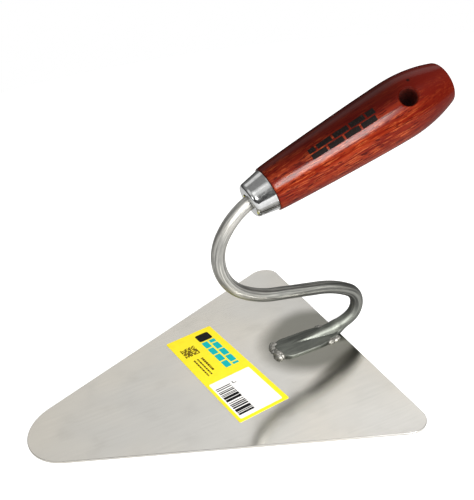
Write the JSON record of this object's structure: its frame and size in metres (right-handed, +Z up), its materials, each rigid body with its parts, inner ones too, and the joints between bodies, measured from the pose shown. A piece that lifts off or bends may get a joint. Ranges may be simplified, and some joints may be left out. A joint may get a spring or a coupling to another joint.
{
  "type": "brick trowel",
  "caption": "Masonry hand trowel: triangular steel blade with rounded corners, swan-neck rod tang welded on at the heel, steel ferrule and turned wooden handle with a hanging hole.",
  "frame": {"origin": "blade's underside, at the middle of its straight heel edge", "axes": "-X towards the blade's tip, +X towards the handle's butt, +Y across the blade, +Z up from the blade's face"},
  "size_m": [0.2501, 0.18, 0.1386],
  "materials": {
    "blade_steel": "ground and lightly polished flat steel",
    "rod_steel": "dull drawn and forged steel rod",
    "weld_metal": "lumpy bare weld bead",
    "ferrule_steel": "bright plated drawn cup",
    "stained_wood": "red-brown stain under gloss varnish",
    "label_paper": "coated self-adhesive paper"
  },
  "bodies": {
    "root": {"blade": "blade_steel", "tang": "rod_steel", "weld_front": "weld_metal", "weld_near": "weld_metal", "weld_far": "weld_metal", "ferrule": "ferrule_steel", "handle": "stained_wood", "label": "label_paper"}
  },
  "joints": []
}
